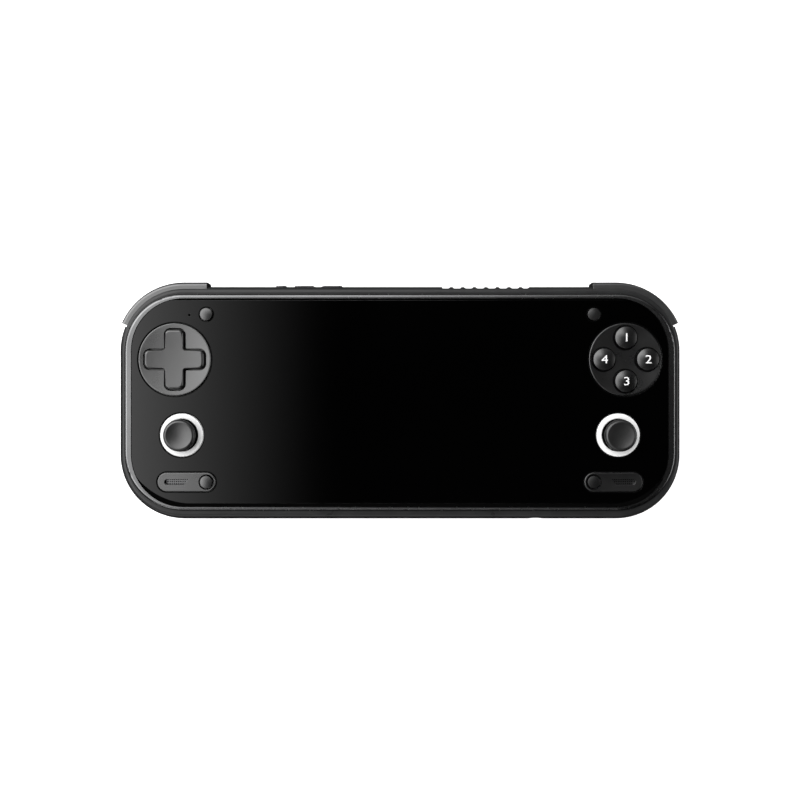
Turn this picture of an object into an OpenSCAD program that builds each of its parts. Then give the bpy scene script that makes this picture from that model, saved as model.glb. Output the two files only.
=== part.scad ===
// Handheld game console with a wide screen between two control wings.
// It lies on its back: +X is the player's right, +Y the top edge, +Z out of the screen.
// The origin is under the middle of the whole object, on the surface that it lies on.

/* [Body] */
// Width of the body across both wings
body_w = 210; // [204:1:225]
// Height of the body from the bottom edge to the top edge
body_h = 87; // [85:0.5:96]
// Corner radius of the body's outline
corner_r = 24; // [22:0.5:26]
// Rounding of the front shoulder
shoulder_r = 2.2; // [1.6:0.1:2.3]
// Rounding of the rear edge
rear_round = 5.0; // [3:0.25:5.1]
// Side wall of both shells
side_wall = 1.8; // [1.4:0.1:2.2]
// Floor of the rear shell
rear_wall = 1.5; // [1.2:0.1:2]
// Depth of the rear shell between the flat back and the parting line
rear_depth = 5.2; // [5.2:0.1:6]
// Height and depth of the reveal along the parting line
reveal = 0.3; // [0.2:0.05:0.5]
// Height of the palm swells behind the flat back
swell_h = 1.2; // [0.8:0.1:2]
// Width of one palm swell
swell_w = 32; // [24:1:34]
// Length of one palm swell along the wing
swell_l = 58; // [44:1:60]

/* [Front] */
// Ledge between the body's side and the bezel ring
ledge_side = 2.3; // [2.3:0.1:3]
// Ledge between the body's top edge and the bezel ring
ledge_top = 2.9; // [2.5:0.1:3.4]
// Ledge between the body's bottom edge and the bezel ring
ledge_bottom = 3.3; // [2.9:0.1:4.2]
// Width of the bezel ring at the sides
rim_side = 2.7; // [2.3:0.1:3.2]
// Width of the bezel ring at the top
rim_top = 1.75; // [1.5:0.05:2]
// Width of the bezel ring at the bottom
rim_bottom = 1.4; // [1.3:0.05:1.8]
// Rounding of the bezel ring's outer edge
rim_round = 1.2; // [0.6:0.1:1.2]
// Height of the bezel ring above the glass
rim_proud = 0.4; // [0.2:0.1:0.8]
// Thickness of the front glass
glass_t = 1.2; // [1:0.1:1.6]
// Gap between the glass and the bezel ring at the sides
glass_gap = 0.1; // [0.1:0.05:0.3]
// Gap between the glass and the bezel ring at the top, which a seal fills
seal_top = 0.7; // [0.6:0.05:1]
// Gap between the glass and the bezel ring at the bottom, which a seal fills
seal_bottom = 1.35; // [0.8:0.05:1.6]
// Depth of the seals below the glass
seal_sunk = 0.3; // [0.2:0.05:0.6]
// Radius of the glass's lower corners, which are drawn in from the bezel ring
draw_r = 26; // [24:0.5:28]
// How far the round of a drawn-in corner would run past the bezel's opening at the side
draw_out = 3.7; // [3:0.1:4.4]
// Margin between the display panel and the glass's upper and lower edges
display_inset = 0.4; // [0.2:0.1:3]
// Thickness of the display panel
display_t = 2.0; // [1.6:0.1:2.6]
// Gap round the display panel in its tray
display_gap = 0.2; // [0.1:0.05:0.4]
// Thickness of the tray under the display
tray_t = 1.0; // [0.8:0.1:1.4]
// Thickness of the frame's plate in the wings
plate_t = 1.2; // [1.1:0.1:1.5]

/* [D-pad] */
// Distance of the two concave dishes from the body's side
dish_side = 7.7; // [6.8:0.1:9]
// Distance of the dishes from the top edge
dish_top = 13.9; // [12.8:0.1:14.6]
// Distance of the dishes from the display panel
dish_inner = 2.55; // [2.4:0.05:4]
// Rim of a dish beyond the ends of the cross
cross_rim = 2.4; // [2:0.1:2.8]
// Thickness of a dish at its rim
dish_t = 1.9; // [1.8:0.1:2.2]
// Depth of a dish's hollow
dish_dip = 0.5; // [0.3:0.05:1.2]
// Height of a dish's rim above the glass
inlay_proud = 0.15; // [0.1:0.05:0.3]
// Gap between the glass and an inlay
inlay_gap = 0.3; // [0.15:0.05:0.4]
// Length of the cross at its foot
cross_l = 22.2; // [21:0.1:25]
// Width of an arm of the cross at its foot
cross_w = 6.9; // [6.4:0.1:7.4]
// Rounding of the cross's upper edge
cross_edge = 0.9; // [0.4:0.1:1.2]
// Rounding of the cross's arm ends
cross_r = 1.9; // [1.4:0.1:2.2]
// Rounding of the cross's inner corners
cross_fillet = 0.9; // [0.8:0.1:1.2]
// Height of the cross above the glass
cross_proud = 1.5; // [1.3:0.1:2.4]
// Depth of the cross's hollow top
cross_dip = 0.35; // [0.2:0.05:0.8]
// Gap between the cross and its hole
cross_gap = 0.6; // [0.45:0.05:0.7]
// Distance of the edge of the disc under the cross from the dish's edge
rocker_rim = 2; // [1.6:0.1:2.4]
// Diameter of the ball that the cross rocks on
ball_d = 3.2; // [2.8:0.1:3.6]

/* [Face buttons] */
// Diameter of a face button
face_d = 8.0; // [7.4:0.1:8.2]
// Rim of the dish outside a face button's hole
face_rim = 0.98; // [0.6:0.02:1.2]
// Height of a face button above the glass
face_proud = 2.0; // [1.6:0.1:2.8]
// Height of a face button's domed top
face_dome = 0.75; // [0.3:0.05:1]
// Gap round a face button
face_gap = 0.42; // [0.2:0.02:0.5]
// Width of the collar that keeps a face button in
face_collar = 0.7; // [0.5:0.05:0.8]
// Travel of a face button
face_travel = 1.2; // [0.8:0.1:1.4]

/* [Small buttons] */
// Diameter of a small button
small_d = 4.5; // [4:0.1:4.8]
// Gap round a small button
small_gap = 0.4; // [0.2:0.05:0.5]
// Height of a small button above the glass
small_proud = 0.8; // [0.5:0.1:1.2]
// Distance of the small buttons from the display panel
small_inner = 4.3; // [4.2:0.05:5.2]
// Distance of the upper small buttons from the top edge
small_down = 10.6; // [10.2:0.1:11.5]
// Travel of a small button
small_travel = 0.35; // [0.2:0.05:0.4]

/* [Sticks] */
// Distance of a stick from the body's side
stick_in = 23.8; // [23:0.1:25]
// How far a stick sits below the middle between its dish and its speaker trim
stick_low = 0.35; // [0:0.05:0.8]
// Outer diameter of the light ring round a stick
ring_d = 16.1; // [15.6:0.1:17.2]
// Inner diameter of the light ring
ring_bore = 12.2; // [12:0.1:12.8]
// Diameter of a stick's cap
cap_d = 11.8; // [11:0.1:12]
// Thickness of a stick's cap
cap_t = 1.9; // [1.8:0.1:2.4]
// Width of the rounded rim of a stick's cap
cap_rim = 1.1; // [0.8:0.1:1.1]
// Rounding of the lower edge of a stick's cap
cap_foot = 0.6; // [0.4:0.1:0.7]
// Height of a stick's cap above the glass
cap_proud = 4.6; // [4.4:0.1:5]
// Depth of the hollow in a stick's cap
cap_dip = 0.6; // [0.4:0.1:1.2]
// Radius of the dust dome round a stick's pivot
dome_r = 7.6; // [7.2:0.1:7.7]
// Diameter of a stick's neck
neck_d = 4.6; // [4:0.1:5]
// Outside width of a stick's housing
pot_w = 17; // [16.6:0.1:17.6]
// Wall of a stick's housing
pot_wall = 1.2; // [1:0.1:1.3]
// Outer diameter of the gimbal ring
gimbal_d = 12.4; // [11.8:0.1:12.8]
// Diameter of the gimbal ring's pins in the housing
gimbal_pin_d = 2.0; // [1.6:0.1:2.2]
// Diameter of the rocker inside the gimbal ring
rock_d = 6.8; // [6.4:0.1:7]
// Diameter of the rocker's pins in the gimbal ring
rock_pin_d = 1.6; // [1.2:0.1:1.8]
// Diameter of the lever's shaft
shaft_d = 2.6; // [2.2:0.1:3]

/* [Speakers] */
// Length of a speaker's stadium trim
trim_l = 21.6; // [21:0.1:22.2]
// Width of a speaker's stadium trim
trim_w = 7.0; // [6.6:0.1:7.4]
// Distance of the trims from the bottom edge
trim_up = 14; // [13.5:0.1:14.6]
// Distance of the small button from the trim's inner end
trim_end = 3.45; // [3.4:0.05:4]
// Length of the sound slot
slot_l = 8.5; // [7.5:0.1:9]
// Width of the sound slot
slot_w = 2.1; // [1.8:0.1:2.4]
// Pitch of the holes in the speaker's mesh
mesh_pitch = 0.8; // [0.75:0.01:1]
// Diameter of the holes in the speaker's mesh
mesh_hole = 0.5; // [0.3:0.05:0.6]

/* [Shoulder controls] */
// How far a bumper stands out from the body's outline
bumper_proud = 1.7; // [1.2:0.1:2.2]
// How far a bumper reaches inside the body's outline
bumper_sunk = 1.4; // [1.2:0.1:1.6]
// Straight run of a bumper from the corner towards the middle
bumper_run = 8.7; // [8:0.1:10]
// Angle on the corner at which a bumper ends, from the side
bumper_end = 24; // [20:1:30]
// Rounding of a bumper's outer edges
bumper_round = 1.3; // [0.6:0.1:1.6]
// Diameter of the bumpers' and the triggers' hinge pins
hinge_pin_d = 1.4; // [1.2:0.1:1.6]
// Width of a trigger
trigger_w = 15; // [12:0.1:15.2]
// How far a trigger stands out from the body's outline
trigger_proud = 0.9; // [0.6:0.1:1.2]
// Thickness of a trigger's finger plate
trigger_t = 2.5; // [2:0.1:2.8]

/* [Top keys and vent] */
// Distance of the power button from the middle
power_off = 45; // [44:0.1:48]
// Length of the power button
power_l = 4.0; // [3.4:0.1:5]
// Distance of the volume rocker from the middle
volume_off = 30.9; // [29:0.1:32]
// Length of the volume rocker
volume_l = 18; // [16:0.1:19]
// Width of the two top keys
key_w = 2.8; // [2.2:0.1:3.2]
// How far the top keys stand out
key_proud = 0.75; // [0.5:0.05:1]
// Distance of the vent's middle from the display's edge
vent_inner = 35.55; // [34:0.05:37]
// Number of ribs in the vent
vent_ribs = 7; // [5:1:8]
// Pitch of the vent's ribs
vent_pitch = 4.33; // [4:0.01:4.5]
// Width of a vent rib
vent_rib = 1.9; // [1.5:0.1:2.2]

/* [Bottom edge] */
// Distance of the card door's middle from the display's edge
door_inner = 24.75; // [23.5:0.05:26.5]
// Length of the card door
door_l = 21; // [20:0.1:22]
// Height of the card door
door_h = 3.3; // [2.8:0.1:3.4]
// Thickness of the card door
door_t = 1.05; // [0.9:0.05:1.1]
// Depth of the nail notch
nail_dip = 0.4; // [0.2:0.05:0.5]
// Length of the nail notch
nail_l = 5.5; // [4.5:0.1:6.5]
// Width of the charging port
port_w = 8.94; // [8.94:0.01:9.2]
// Height of the charging port
port_h = 3.26; // [3.1:0.01:3.3]

/* [Inside] */
// Thickness of the main board and of the control boards
board_t = 1.0; // [0.8:0.1:1.2]
// Room for parts between the main board and the display tray
board_room = 1.0; // [0.8:0.1:1.4]
// Height of the fan
fan_h = 5.6; // [5:0.1:6.4]
// Gap between the fan and the rear shell's floor
fan_gap = 0.3; // [0.2:0.05:0.5]
// Room between the fan and the main board
fan_room = 1.2; // [1:0.1:1.6]
// Outside width of the fan housing
fan_w = 36; // [34:0.5:37]
// Room round the rotor in the fan housing
fan_margin = 4; // [3.5:0.1:6]
// Number of blades on the fan's rotor
fan_blades = 17; // [11:1:21]
// Thickness of the chips on the main board
chip_t = 1.0; // [0.8:0.1:1.2]
// Thickness of the heat sink's plate
sink_t = 1.0; // [0.8:0.1:1.2]
// Number of fins on the heat sink
sink_fins = 16; // [8:1:20]
// Width of the heat sink's plate
sink_w = 18; // [16:0.5:20]
// Room between the battery and the body's top edge
battery_top = 14; // [12:0.5:24]
// Room between the battery and the body's bottom edge
battery_bottom = 9; // [8:0.5:18]
// Thickness of the battery
battery_t = 5.2; // [4:0.1:6]
// Thickness of the rubber membranes' sheet
sheet_t = 0.7; // [0.5:0.05:0.8]
// Diameter of the shell screws' shanks
screw_d = 1.6; // [1.4:0.1:1.8]
// Diameter of the board screws' shanks
board_screw_d = 1.2; // [1:0.1:1.4]

/* [Hidden] */
$fn = 64;

// Clearances
eps = 0.02;           // overlap of solids that are cut or joined together
run_gap = 0.05;       // radial play of a pin in its hole
slip_gap = 0.1;       // play of a fixed inlay in its hole
free_gap = 0.3;       // room beside a moving piece

// Outline of the body
top_y = body_h / 2;
side_x = body_w / 2;
turn_x = side_x - corner_r;
turn_y = top_y - corner_r;
body_y = -max(bumper_proud, key_proud) / 2;

// Heights, from the surface upwards
back_z = swell_h;
swell_at = [side_x - 23, -6];
swell_r = 0.4 * swell_w;
floor_z = back_z + rear_wall;
part_z = back_z + rear_depth;
fan_z = floor_z + fan_gap;
board_z = fan_z + fan_h + fan_room;
chip_z = board_z - chip_t;
tray_z = board_z + board_t + board_room;
pocket_z = tray_z + tray_t;
ledge_z = pocket_z + display_t;
glass_z = ledge_z + glass_t;
rim_z = glass_z + rim_proud;
wing_z = ledge_z - plate_t;
inlay_z = glass_z + inlay_proud;
dish_z = inlay_z - dish_t;
collar_t = 0.8;
collar_z1 = dish_z - slip_gap;
collar_z0 = collar_z1 - collar_t;
press_room = 0.45;
panel_z = collar_z0 - face_travel - press_room - sheet_t;
post_h = wing_z - panel_z;

// Bezel and glass
bezel_w = body_w - 2 * ledge_side;
bezel_h = body_h - ledge_top - ledge_bottom;
bezel_y = (ledge_bottom - ledge_top) / 2;
bezel_r = corner_r - ledge_side;
opening_w = bezel_w - 2 * rim_side;
opening_h = bezel_h - rim_top - rim_bottom;
opening_y = bezel_y + (rim_bottom - rim_top) / 2;
opening_r = bezel_r - (rim_side + rim_top) / 2;
glass_w = opening_w - 2 * glass_gap;
glass_h = opening_h - seal_top - seal_bottom;
glass_y = opening_y + (seal_bottom - seal_top) / 2;
glass_r = opening_r - glass_gap;
seal_play = 0.05;
seal_clear = glass_gap + 0.05;
dish_d = cross_l + 2 * cross_rim;
wing_w = dish_side + dish_d + dish_inner;
display_w = body_w - 2 * wing_w;
display_h = glass_h - 2 * display_inset;
tray_side = 1.3;
tray_x = display_w / 2 + tray_side;

// Places of the controls on the right wing; the left wing mirrors them
pad = [side_x - dish_side - dish_d / 2, top_y - dish_top - dish_d / 2];
rocker_d = dish_d - 2 * rocker_rim;
face_ring = (dish_d - face_d) / 2 - face_gap - face_rim;
small_x = display_w / 2 + small_inner;
upper = [small_x, top_y - small_down];
lower = [small_x, trim_up - top_y];
trim = [small_x - trim_end + trim_l / 2, trim_up - top_y];
stick = [side_x - stick_in, (pad[1] - dish_d / 2 + trim[1] + trim_w / 2) / 2 - stick_low];
slot_end = 2.5;
slot = [trim[0] + trim_l / 2 - slot_end - slot_l / 2, trim[1]];
mic = upper + [6.3, -0.3];
mic_d = 0.9;
small_collar = 0.7;
small_flange = 0.6;

// Stick mechanism
pivot_z = panel_z - 3.0;
pot_z = floor_z + 0.9;
pot_floor = 1.0;
tip_z = pivot_z - 2.4;
gimbal_t = 2.6;
gimbal_bore = rock_d + 2.0;
rock_t = 3;
rock_pin_end = (gimbal_d + gimbal_bore) / 4 + 0.6;
dome_t = 0.8;
dome_z = pivot_z + dome_r * 0.63;
cap_z = glass_z + cap_proud - cap_t;
neck_grip = 0.8;

// Bumpers and triggers
bumper_play = 0.7;
bumper_z0 = part_z + 0.2;
bumper_z1 = ledge_z - 0.7;
bumper_x = turn_x - bumper_run;
lug_r = hinge_pin_d / 2 + 0.8;
bumper_pin = [bumper_x + 1.9, top_y - bumper_sunk - 1.2];
lug_z0 = part_z + 1.3;
lug_z1 = ledge_z - 2.4;
back_wall = bumper_sunk + bumper_play + 1.3;
trigger_x = bumper_x + 0.2;
trigger_pin = [top_y - 3.9, back_z + 3.3];
trigger_hub = hinge_pin_d / 2 + 0.9;
trigger_z0 = back_z + 0.3;
trigger_z1 = part_z - 0.3;
trigger_pocket_y = trigger_pin[0] - trigger_hub - free_gap;

// Keys in the top wall
key_z = part_z + 3.2;
key_gap = 0.2;
key_flange = 0.8;
key_inset = 0.1;      // room between the power button's flange and the wall
rocker_inset = 0.45;  // the same for the rocker, whose flange swings
key_travel = 0.4;
rocker_travel = 0.2;
nub_w = 1.6;
nub_l = 0.7;
rocker_nub = volume_l / 3;

// Vent
vent_off = display_w / 2 - vent_inner;
vent_z0 = part_z + 0.4;
vent_z1 = ledge_z - 0.6;
vent_l = (vent_ribs + 1) * vent_pitch - vent_rib;

// Bottom edge
port_z = board_z - 1.2;
port_l = 7.3;
card_t = 1.5;
card_z = board_z - card_t;
card_w = 14.5;
card_l = 15;
card_y = side_wall + 0.2;
door_off = display_w / 2 - door_inner;
door_z = card_z + card_t / 2 - door_h / 2;
knuckle_r = 0.75;
door_pin_d = 0.7;
door_x0 = door_off - door_l / 2;

// Inner pieces
card_gap = 3.5;
fin_room = 7.5;
sink_gap = 3;
fan_l = body_h - fin_room - sink_gap - sink_w - card_gap - card_l - card_y;
fan_d = min(fan_w, fan_l) - 2 * fan_margin;
fan = [vent_off, top_y - fin_room - fan_l / 2];
fan_wall = 1.2;
fan_lid = 0.7;
fan_shaft_d = 1.4;
fan_run = 1.0;
sink_z = chip_z - sink_t;
sink_x = fan[0] - 8.2;
sink_x0 = sink_x - 24;
sink_y = fan[1] - fan_l / 2 - sink_gap - sink_w / 2;
cpu_w = 15;
ram = [11, 13];
ram_x = 18;
power_chip_w = 8;
power_chip_x = -17;
fin_z = part_z - 1.6;
pipe_w = 6;
board_x0 = sink_x0 - 8;
board_x1 = display_w / 2 - 3;
board_y0 = 3.6 - top_y;
board_y1 = top_y - 5;
strip_x = -(power_off + 7);
strip_h = 5;
battery_x0 = 2.5 - display_w / 2;
battery_x1 = sink_x0 - 11.25;
battery_l = body_h - battery_top - battery_bottom;
battery_y = (battery_bottom - battery_top) / 2;
speaker_l = 14.6;
speaker_w = 8;
speaker_t = 4;
speaker_room = 1.5;
switch_w = 3.4;
switch_t = wing_z - slip_gap - small_flange - small_travel - 0.15 - panel_z;

// Screws
screw_seat = 1.4;
screw_head_d = 2.1 * screw_d;
boss_r = screw_d / 2 + 1.5;
boss_z = floor_z + 1.5;
shell_screws_at = [for (s = [-1, 1]) each [
  [s * (side_x - 5.5), -1],
  [s * (tray_x - 6.5), top_y - 4.7],
  [s * (tray_x - 6.5), 4.7 - top_y]
]];
post_r = board_screw_d / 2 + 1.2;
wing_y = (pad[1] + stick[1]) / 2;
board_posts = [
  [tray_x + 1.4, wing_y],
  [side_x - 10.7, wing_y - 1.8],
  [tray_x + 1.4, lower[1] + 7.5]
];
main_posts = [for (x = [board_x0 + 4, board_x1 - 4]) each [[x, board_y0 + 9], [x, board_y1 - 9]]];

charcoal = [0.16, 0.165, 0.17];
black = [0.05, 0.05, 0.055];
steel = [0.62, 0.63, 0.65];
board_green = [0.07, 0.2, 0.13];

// Everything is drawn about the middle of the body's outline and then set over the origin
module place() {
  translate([0, body_y, 0]) children();
}

// Draws for the right wing, or mirrors the same to the left
module wing(side) {
  if (side > 0) children();
  else mirror([1, 0, 0]) children();
}

module quarter(r) {
  intersection() {
    circle(r);
    square(r);
  }
}

module rounded(w, h, r) {
  square([w - 2 * r, h], center = true);
  square([w, h - 2 * r], center = true);
  for (sx = [-1, 1], sy = [-1, 1])
    translate([sx * (w / 2 - r), sy * (h / 2 - r)]) circle(r);
}

module stadium(l, d) {
  square([l - d, d], center = true);
  for (s = [-1, 1]) translate([s * (l - d) / 2, 0]) circle(d = d);
}

module outline(inset) {
  rounded(body_w - 2 * inset, body_h - 2 * inset, corner_r - inset);
}

module slab(z0, z1) {
  translate([0, 0, z0]) linear_extrude(z1 - z0) children();
}

// Carries an edge profile round a rounded rectangle; the profile's x starts at the corner's centre
module carried_round(w, h, r) {
  for (a = [0, 90, 180, 270]) {
    sx = (a == 0 || a == 270) ? 1 : -1;
    sy = (a < 180) ? 1 : -1;
    translate([sx * (w / 2 - r), sy * (h / 2 - r), 0])
      rotate([0, 0, a]) rotate_extrude(angle = 90) children();
  }
  for (a = [0, 180]) rotate([0, 0, a]) {
    translate([w / 2 - r, h / 2 - r, 0]) rotate([90, 0, 0]) linear_extrude(h - 2 * r) children();
    translate([r - w / 2, h / 2 - r, 0]) rotate([90, 0, 90]) linear_extrude(w - 2 * r) children();
  }
}

// Plate with a rounded outline and a rounded upper edge
module soft_plate(w, h, r, z0, z1, edge) {
  t = z1 - z0;
  translate([0, 0, z0]) {
    carried_round(w, h, r) {
      union() {
        square([r - edge, t]);
        square([r, t - edge]);
        translate([r - edge, t - edge]) quarter(edge);
      }
    }
    translate([r - w / 2, r - h / 2, 0]) cube([w - 2 * r, h - 2 * r, t]);
  }
}

// The same with the rounded edge below
module soft_plate_down(w, h, r, z0, z1, edge) {
  translate([0, 0, z0 + z1]) mirror([0, 0, 1]) soft_plate(w, h, r, z0, z1, edge);
}

// Cylinder with a rounded upper edge, standing on z0
module soft_disc(d, z0, z1, edge) {
  translate([0, 0, z0]) rotate_extrude() {
    square([d / 2 - edge, z1 - z0]);
    square([d / 2, z1 - z0 - edge]);
    translate([d / 2 - edge, z1 - z0 - edge]) quarter(edge);
  }
}

// Ball that hollows a face out to a depth over a width; its lowest point lies at z
module hollow_ball(width, depth, z) {
  r = (width * width / 4 + depth * depth) / (2 * depth);
  translate([0, 0, z + r]) sphere(r, $fn = 320);
}

function face_places() = [for (a = [90, 0, 270, 180]) pad + face_ring * [cos(a), sin(a)]];

// Inside of the two shells, drawn in where the bumpers and triggers sit
module cavity_outline(keep_clear) {
  difference() {
    outline(side_wall);
    for (s = [-1, 1]) wing(s) {
      difference() {
        translate([bumper_x - 1.4, turn_y + corner_r * sin(bumper_end) - 3]) square(corner_r * 2);
        outline(keep_clear);
      }
    }
  }
}

module bumper_section(sunk, proud, z0, z1, edge) {
  translate([corner_r - sunk, z0]) square([sunk + proud - edge, z1 - z0]);
  translate([corner_r - sunk, z0 + edge]) square([sunk + proud, z1 - z0 - 2 * edge]);
  translate([corner_r + proud - edge, z1 - edge]) quarter(edge);
  translate([corner_r + proud - edge, z0 + edge]) mirror([0, 1]) quarter(edge);
}

module plain_section(sunk, proud, z0, z1) {
  translate([corner_r - sunk, z0]) square([sunk + proud, z1 - z0]);
}

// Carries a section from the corner's end round to the top edge and along it
module corner_sweep(run, end_angle) {
  translate([turn_x, turn_y, 0]) mirror([1, -1, 0]) rotate_extrude(angle = 90 - end_angle) children();
  if (run > 0)
    translate([turn_x - run, turn_y, 0]) rotate([90, 0, 90]) linear_extrude(run) children();
}

// Room that a bumper, its lug and its travel need in the frame
module bumper_room() {
  over = bumper_proud + 2;
  end = bumper_end - bumper_play / corner_r * 180 / PI;
  corner_sweep(bumper_run + free_gap, end)
    plain_section(bumper_sunk + free_gap, over, part_z - 1, bumper_z1 + free_gap);
  corner_sweep(0, end)
    plain_section(bumper_sunk + bumper_play, over, part_z - 1, bumper_z1 + free_gap);
  translate([bumper_pin[0], bumper_pin[1], lug_z0 - free_gap]) {
    cylinder(r = lug_r + free_gap, h = lug_z1 - lug_z0 + 2 * free_gap);
    translate([-lug_r, 0, 0])
      cube([2 * lug_r, top_y - bumper_pin[1], lug_z1 - lug_z0 + 2 * free_gap]);
  }
}

module bumper_pin_rod(radius) {
  translate([bumper_pin[0], bumper_pin[1], part_z + 0.1])
    cylinder(r = radius, h = lug_z1 + 1.6 - part_z);
}

// Comb of vent slots between rounded ribs
module vent_slots() {
  depth = side_wall + 0.3;
  slab(vent_z0, vent_z1) difference() {
    translate([vent_off - vent_l / 2, top_y - depth]) square([vent_l, depth + 2]);
    for (i = [0 : vent_ribs - 1])
      translate([vent_off + (i - (vent_ribs - 1) / 2) * vent_pitch, top_y - vent_rib / 2]) {
        circle(d = vent_rib);
        translate([-vent_rib / 2, -depth]) square([vent_rib, depth]);
      }
  }
}

// Slot through the top wall for a key
module key_slot(x, l) {
  translate([x, top_y + 2, key_z]) rotate([90, 0, 0])
    linear_extrude(side_wall + 3) stadium(l + 2 * key_gap, key_w + 2 * key_gap);
}

module door_room() {
  y0 = -top_y;
  slab(door_z - slip_gap, door_z + door_h + slip_gap) {
    translate([door_x0 + knuckle_r, y0 - 2])
      square([door_l - knuckle_r + slip_gap, 2 + door_t + slip_gap]);
    translate([door_x0 + knuckle_r, y0 + knuckle_r]) circle(knuckle_r + slip_gap);
    translate([door_x0 - slip_gap, y0 - 2]) square([2 * knuckle_r, 2 + knuckle_r]);
  }
  mouth_w = card_w - 2.4;
  translate([door_off - mouth_w / 2, y0 - 1, card_z + 0.1]) cube([mouth_w, side_wall + 2, card_t - 0.2]);
}

// Finger-nail notch in the bottom edge over the free end of the card door
module nail_notch() {
  r = (nail_l * nail_l / 4 + nail_dip * nail_dip) / (2 * nail_dip);
  translate([door_off + door_l / 2 - nail_l / 2, nail_dip - top_y - r, part_z - 1])
    cylinder(r = r, h = ledge_z - part_z, $fn = 128);
}

module front_frame() color(charcoal) place() difference() {
  union() {
    difference() {
      soft_plate(body_w, body_h, corner_r, part_z, ledge_z, shoulder_r);
      slab(part_z - 1, tray_z) cavity_outline(back_wall);
      slab(tray_z - eps, wing_z) difference() {
        cavity_outline(back_wall);
        square([2 * tray_x, body_h], center = true);
      }
    }
    for (s = [-1, 1]) wing(s) {
      translate([bumper_pin[0], bumper_pin[1], part_z]) cylinder(r = lug_r + 1.2, h = wing_z - part_z + eps);
      for (p = board_posts) translate([p[0], p[1], panel_z]) cylinder(r = post_r, h = post_h + eps);
    }
    for (p = shell_screws_at) translate([p[0], p[1], boss_z]) {
      top = abs(p[0]) > tray_x ? wing_z : tray_z;
      cylinder(r = boss_r, h = top - boss_z + eps);
    }
    for (p = main_posts)
      translate([p[0], p[1], tray_z - board_room]) cylinder(r = post_r, h = board_room + eps);
  }
  translate([0, glass_y, 0]) slab(pocket_z, ledge_z + 1)
    rounded(display_w + 2 * display_gap, display_h + 2 * display_gap, 1.5);
  for (s = [-1, 1]) wing(s) {
    translate([pad[0], pad[1], dish_z]) cylinder(d = dish_d + 2 * slip_gap, h = dish_t);
    translate([stick[0], stick[1], wing_z - 1]) cylinder(d = ring_bore + 0.4, h = plate_t + 2);
    for (p = [upper, lower])
      translate([p[0], p[1], wing_z - 1]) cylinder(d = small_d + 2 * small_gap, h = plate_t + 2);
    translate([slot[0], slot[1], wing_z - 1]) linear_extrude(plate_t + 2) stadium(slot_l + 1, slot_w + 0.6);
    translate([slot[0], slot[1], ledge_z - 0.3]) linear_extrude(1) rounded(slot_l + 2.4, slot_w + 2.2, 0.8);
    bumper_room();
    bumper_pin_rod(hinge_pin_d / 2);
    translate([bumper_pin[0], bumper_pin[1], part_z - 1]) cylinder(d = hinge_pin_d, h = 2);
    for (p = board_posts)
      translate([p[0], p[1], panel_z - eps]) cylinder(r = board_screw_d / 2 + run_gap, h = post_h);
  }
  for (s = [-1, 1])
    translate([s * pad[0], pad[1], wing_z - 1]) cylinder(d = rocker_d + 1.4, h = plate_t + 2);
  for (p = face_places())
    translate([p[0], p[1], wing_z - 1]) cylinder(d = face_d + 2 * face_collar + 0.5, h = plate_t + 2);
  translate([-mic[0], mic[1], wing_z - 1]) cylinder(d = mic_d, h = plate_t + 2);
  for (p = shell_screws_at)
    translate([p[0], p[1], boss_z - eps]) cylinder(r = screw_d / 2 + run_gap, h = 5.5);
  for (p = main_posts)
    translate([p[0], p[1], tray_z - board_room - eps])
      cylinder(r = board_screw_d / 2 + run_gap, h = board_room + tray_t * 0.7);
  vent_slots();
  key_slot(-power_off, power_l);
  key_slot(-volume_off, volume_l);
  translate([0, 2 - top_y, port_z]) rotate([90, 0, 0]) linear_extrude(3) stadium(port_w + 0.4, port_h + 0.4);
  door_room();
  nail_notch();
  translate([door_x0 + knuckle_r, knuckle_r - top_y, door_z - 1]) cylinder(d = door_pin_d, h = door_h + 2);
}

module front_bezel() color([0.3, 0.31, 0.32]) place() difference() {
  translate([0, bezel_y, 0]) soft_plate(bezel_w, bezel_h, bezel_r, ledge_z, rim_z, rim_round);
  translate([0, opening_y, 0]) slab(ledge_z - 1, rim_z + 1) rounded(opening_w, opening_h, opening_r);
}

module intake_slots() {
  r = fan_d / 2 - 2;
  pitch = 3.4;
  n = floor((r - 1) / pitch);
  for (i = [-n : n])
    translate([fan[0], fan[1] + i * pitch]) stadium(2 * sqrt(r * r - pow(i * pitch, 2)), 1.7);
}

module trigger_room() {
  x0 = trigger_x - free_gap;
  w = trigger_w + 2 * free_gap;
  foot_y = top_y + trigger_proud - trigger_t - 1.0;
  translate([x0, foot_y, -1]) cube([w, 10, part_z + 2]);
  translate([x0, trigger_pocket_y, trigger_pin[1] - trigger_hub - free_gap]) cube([w, 10, part_z]);
}

module trigger_pin_rod(radius) {
  translate([trigger_x - 1.5, trigger_pin[0], trigger_pin[1]])
    rotate([0, 90, 0]) cylinder(r = radius, h = trigger_w + 3);
}

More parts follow.
